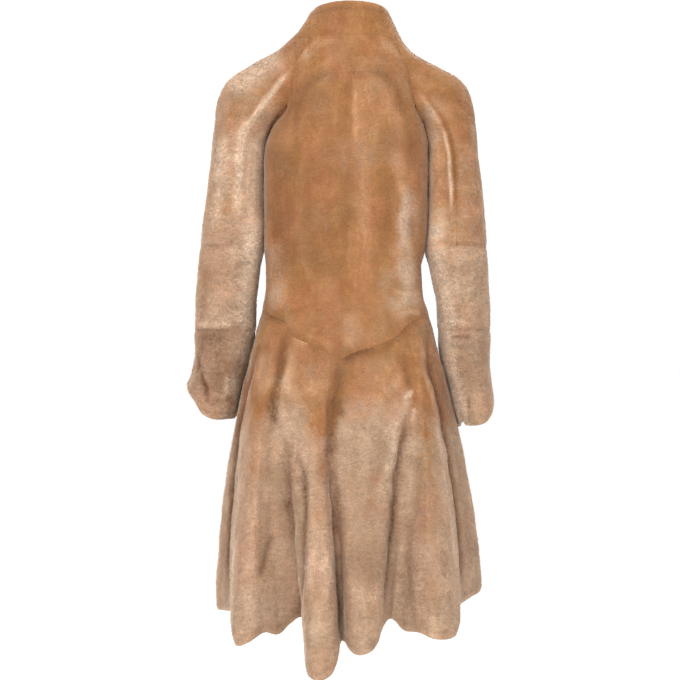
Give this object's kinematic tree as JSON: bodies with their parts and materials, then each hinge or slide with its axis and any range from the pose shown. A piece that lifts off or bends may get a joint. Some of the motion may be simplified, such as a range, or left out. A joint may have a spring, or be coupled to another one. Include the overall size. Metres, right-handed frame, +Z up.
{
  "type": "shearling coat",
  "caption": "Fitted shearling coat with the pile outside: funnel collar, raglan sleeves with flared cuffs, pointed back waist and a fluted flared skirt, worn closed and hollow.",
  "frame": {"origin": "between the wearer's shoulders at the neck base, where the coat is held up", "axes": "+Z up, the back faces -Y and the closed front +Y, +X to the wearer's right"},
  "size_m": [0.5245, 0.4152, 1.0866],
  "materials": {
    "honey_pile": "sheared honey-tan sheepskin pile, soft sheen, brushed light and dark",
    "beige_pile": "sheared beige sheepskin pile with pale nap and darker creases",
    "skirt_pile": "sheared pile, honey-tan at the waist fading to beige at the hem"
  },
  "bodies": {
    "root": {"collar_left": "honey_pile", "collar_right": "honey_pile", "back_centre_left": "honey_pile", "back_centre_right": "honey_pile", "back_side_left": "honey_pile", "back_side_right": "honey_pile", "front_side_left": "honey_pile", "front_side_right": "honey_pile", "front_left": "honey_pile", "front_right": "honey_pile", "sleeve_outer_left": "beige_pile", "sleeve_outer_right": "beige_pile", "sleeve_outer_middle_left": "beige_pile", "sleeve_outer_middle_right": "beige_pile", "sleeve_under_left": "beige_pile", "sleeve_under_right": "beige_pile", "cuff_outer_left": "beige_pile", "cuff_outer_right": "beige_pile", "cuff_under_left": "beige_pile", "cuff_under_right": "beige_pile", "skirt_back_left": "skirt_pile", "skirt_back_right": "skirt_pile", "skirt_side_back_left": "skirt_pile", "skirt_side_back_right": "skirt_pile", "skirt_side_front_left": "skirt_pile", "skirt_side_front_right": "skirt_pile", "skirt_front_left": "skirt_pile", "skirt_front_right": "skirt_pile"}
  },
  "joints": []
}
